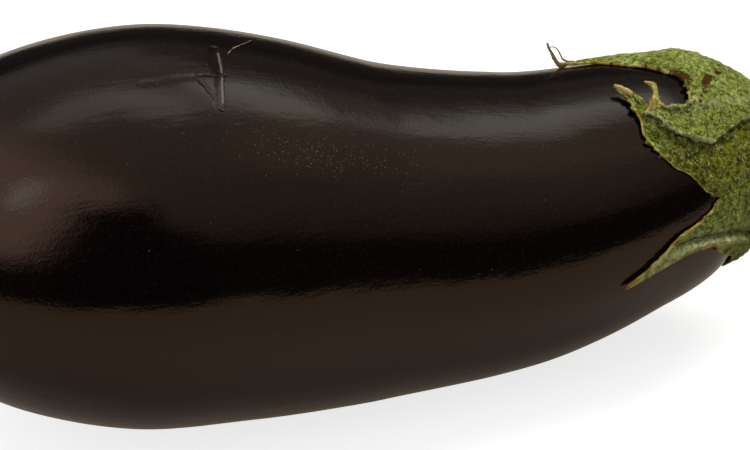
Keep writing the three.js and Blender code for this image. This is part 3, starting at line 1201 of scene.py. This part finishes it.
def floor_part(name, low, high, material, seen):
    """A level sheet that shows either directly, or only in what the object itself catches."""
    corners = [(low[0], low[1]), (high[0], low[1]), (high[0], high[1]), (low[0], high[1])]
    mesh = bpy.data.meshes.new(name)
    level = 0.0 if seen else -0.0003
    mesh.from_pydata([(x, y, level) for x, y in corners], [], [(0, 1, 2, 3)])
    mesh.materials.append(material)
    part = new_object(name, mesh)
    part.visible_camera = seen
    part.visible_glossy = not seen
    part.visible_diffuse = not seen
    part.visible_shadow = False


def lay_floor():
    """A pale floor, and under it the warmer table that the skin's gloss and the calyx catch."""
    front, middle, back, side, far = -0.18, 0.03, 0.9, 0.8, 6.0
    pale = floor_material("pale_floor", (0.42, 0.42, 0.415), (0.78, 0.78, 0.78))
    near = floor_material("table_near", (0.37, 0.35, 0.33), (0.12, 0.09, 0.055))
    behind = floor_material("table_behind", (0.34, 0.30, 0.25), (0, 0, 0))
    floor_part("floor", (-far, -far), (far, far), pale, True)
    floor_part("table_near", (-side, front), (side, middle), near, False)
    floor_part("table_behind", (-side, middle), (side, back), behind, False)


def direction(azimuth, elevation):
    """A unit vector; azimuth is measured from +Y towards +X, in degrees."""
    a, e = math.radians(azimuth), math.radians(elevation)
    return Vector((math.sin(a) * math.cos(e), math.cos(a) * math.cos(e), math.sin(e)))


# Soft panels of the room, as (azimuth, elevation, half width, half height, softness, colour).
ROOM = {
    "back_wall": (10, 8, 72, 20, 6, (0.03, 0.03, 0.028)),
    "back_shelf": (28, 31, 15, 8, 4, (0.14, 0.13, 0.11)),
    "back_window_sill": (28, 48.5, 13, 3.5, 3, (0.5, 0.53, 0.5)),
    "left_wall": (-110, 40, 44, 30, 12, (1.6, 1.4, 1.5)),
    "ceiling": (92, 53, 20, 8, 7, (0.76, 0.72, 0.7)),
    "window": (55, 54, 11, 7.5, 4.5, (1.9, 2.25, 2.4)),
    "skylight": (30, 74, 14, 8, 6, (1.6, 2.0, 2.2)),
    "left_skylight": (-30, 76, 10, 6, 6, (1.5, 1.7, 1.9)),
    "low_dark": (163, 1, 44, 14, 4, (0.03, 0.03, 0.035)),
    "table_edge": (166, -9, 60, 6, 4, (0.03, 0.03, 0.035)),
    "dark_screen": (183, 4, 20, 21, 6, (0.01, 0.01, 0.015)),
    "dark_screen_top": (187, 20, 12, 22, 6, (0.01, 0.01, 0.015)),
    "small_window": (-138, 46, 4, 7, 3, (2.7, 3.2, 4.1)),
}
# The grey of the room round the panels, as (height from 0 at the bottom to 1 on top, brightness).
ROOM_GREYS = [(0.0, 0.03), (0.2, 0.1), (0.4, 0.3), (0.57, 0.42), (0.8, 0.5), (1.0, 0.62)]


def plain_room(tree, toward):
    split = add_node(tree, "ShaderNodeSeparateXYZ", Vector=toward)
    ramp = add_node(tree, "ShaderNodeValToRGB", Fac=split.outputs["Z"])
    stops = ramp.color_ramp.elements
    while len(stops) < len(ROOM_GREYS):
        stops.new(0.5)
    for stop, (place, value) in zip(stops, ROOM_GREYS):
        stop.position = place
        stop.color = (value, value, value, 1)
    return ramp.outputs["Color"]


def panel_mask(tree, toward, azimuth, elevation, width, height, soft):
    """1 inside a panel, fading to 0 across its soft edges."""
    centre = direction(azimuth, elevation)
    right = direction(azimuth + 90, 0)
    above = right.cross(centre) * -1
    if above.z < 0:
        above = -above
    ahead = add_vector_math(tree, "DOT_PRODUCT", toward, centre)
    masks = []
    for axis, half in ((right, width), (above, height)):
        off = add_vector_math(tree, "DOT_PRODUCT", toward, axis)
        size = add_math(tree, "ABSOLUTE", add_math(tree, "ARCTAN2", off, ahead))
        masks.append(add_ramp(tree, size, math.radians(half + soft), math.radians(half - soft)))
    return add_math(tree, "MULTIPLY", *masks)


def light_room():
    world = bpy.data.worlds.new("studio")
    bpy.context.scene.world = world
    world.use_nodes = True
    tree = world.node_tree
    tree.nodes.clear()
    toward = add_node(tree, "ShaderNodeTexCoord").outputs["Generated"]
    color = plain_room(tree, toward)
    for *panel, glow in ROOM.values():
        color = add_mix(tree, panel_mask(tree, toward, *panel), color, glow)
    background = add_node(tree, "ShaderNodeBackground", Color=color, Strength=1.0)
    add_node(tree, "ShaderNodeOutputWorld", Surface=background.outputs[0])


def soft_sun(name, azimuth, elevation, strength, angle):
    lamp = bpy.data.lights.new(name, "SUN")
    lamp.energy = strength
    lamp.angle = math.radians(angle)
    lamp.color = (1.0, 0.94, 0.84)
    light = new_object(name, lamp)
    light.rotation_euler = direction(azimuth, elevation).to_track_quat("Z", "Y").to_euler()
    light.visible_glossy = False


def dome_points(rings, around, radius):
    points = []
    for ring in range(rings + 1):
        tilt = math.pi / 2 * ring / rings
        for turn in range(around):
            spin = FULL_TURN * turn / around
            points.append((radius * math.cos(tilt) * math.cos(spin),
                           radius * math.cos(tilt) * math.sin(spin), radius * math.sin(tilt)))
    return points


def backdrop():
    """A pale dome that only the camera sees, so that no view shows the dark room."""
    rings, around, radius = 12, 48, 5.5
    material = bpy.data.materials.new("pale_backdrop")
    material.use_nodes = True
    tree = material.node_tree
    tree.nodes.clear()
    glow = add_node(tree, "ShaderNodeEmission", Color=(0.97, 0.97, 0.97, 1), Strength=1.0)
    add_node(tree, "ShaderNodeOutputMaterial", Surface=glow.outputs[0])
    mesh = bpy.data.meshes.new("backdrop")
    mesh.from_pydata(dome_points(rings, around, radius), [], ring_faces(rings, around))
    mesh.materials.append(material)
    dome = new_object("backdrop", mesh)
    for kind in ("diffuse", "glossy", "transmission", "volume_scatter", "shadow"):
        setattr(dome, "visible_" + kind, False)


# Where the camera looks and how far back it stands, in millimetres and degrees.
CAMERA_TARGET = (21.8, 0.74, 35.65)
CAMERA_AZIMUTH, CAMERA_ELEVATION, CAMERA_DISTANCE = -13, 30, 600
CAMERA_LENS, CAMERA_SENSOR = 137, 36


def place_camera():
    azimuth, elevation = math.radians(CAMERA_AZIMUTH), math.radians(CAMERA_ELEVATION)
    back = Vector((math.sin(azimuth) * math.cos(elevation),
                   -math.cos(azimuth) * math.cos(elevation), math.sin(elevation)))
    right = Vector((math.cos(azimuth), math.sin(azimuth), 0))
    up = back.cross(right)
    data = bpy.data.cameras.new("camera")
    data.lens = CAMERA_LENS
    data.sensor_width = CAMERA_SENSOR
    data.clip_start, data.clip_end = 0.01, 50
    camera = new_object("camera", data)
    turn = Matrix((right, up, back)).transposed().to_4x4()
    place = (Vector(CAMERA_TARGET) + back * CAMERA_DISTANCE) * MM
    camera.matrix_world = Matrix.Translation(place) @ turn
    bpy.context.scene.camera = camera


# ---- putting it together ----

SPECK_DENSITY = 1.3e6  # pieces for each square metre, where the weight is 1
CAP_HAIR_DENSITY = 0.75e6
OVER_HAIR_DENSITY = 1.2e6
STEM_HAIR_DENSITY = 0.8e6


def finish_piece(piece, slot, *nodes):
    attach(piece, "root")
    if nodes:
        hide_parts(*nodes)


def make_fruit(sweep):
    fruit = fruit_piece(sweep, skin_material())
    finish_piece(fruit, "skin", "fruit")
    specks = grown_piece("skin_specks", fruit, scatter_tree("scatter_specks", fleck_shape), {
        "Density": SPECK_DENSITY, "Weight": "speck", "Smallest": 0.08 * MM, "Largest": 0.26 * MM,
        "Seed": 4, "Material": mottled_material("speck_gold", SPECK_GOLD, 0.6)})
    finish_piece(specks, "skin")
    finish_piece(blossom_scar(mottled_material("blossom_cork", CORK, 0.8)), "skin")


def make_calyx(sweep, hairs, down):
    green = calyx_material()
    straw = mottled_material("dry_straw", STRAW, 0.7)
    thread = mottled_material("dry_thread", DRY_THREAD, 0.7)
    cap, over = calyx_piece(green), over_sepal_piece(green)
    finish_piece(cap, "calyx", "calyx")
    finish_piece(over, "calyx")
    cap_hairs = fuzz_piece("calyx_hairs", cap, hairs, down, CAP_HAIR_DENSITY, 1)
    finish_piece(cap_hairs, "calyx")
    over_hairs = fuzz_piece("calyx_over_hairs", over, hairs, down, OVER_HAIR_DENSITY, 2)
    finish_piece(over_hairs, "calyx")
    for piece in thread_pieces(sweep, straw, thread):
        finish_piece(piece, "calyx")


def make_stem(sweep, hairs, down):
    stem = stem_piece(sweep, stem_material())
    finish_piece(stem, "stem", "stem")
    stem_hairs = fuzz_piece("stem_hairs", stem, hairs, down, STEM_HAIR_DENSITY, 3)
    finish_piece(stem_hairs, "stem")


def main():
    bpy.context.scene.view_settings.view_transform = "Standard"
    place_camera()
    sweep = sweep_tree()
    hairs = scatter_tree("scatter_star_hairs", star_hair_shape)
    down = mottled_material("pale_down", DOWN, 0.8)
    make_fruit(sweep)
    make_calyx(sweep, hairs, down)
    make_stem(sweep, hairs, down)
    lay_floor()
    backdrop()
    light_room()
    soft_sun("window_key", 50, 62, 2.9, 40)


main()
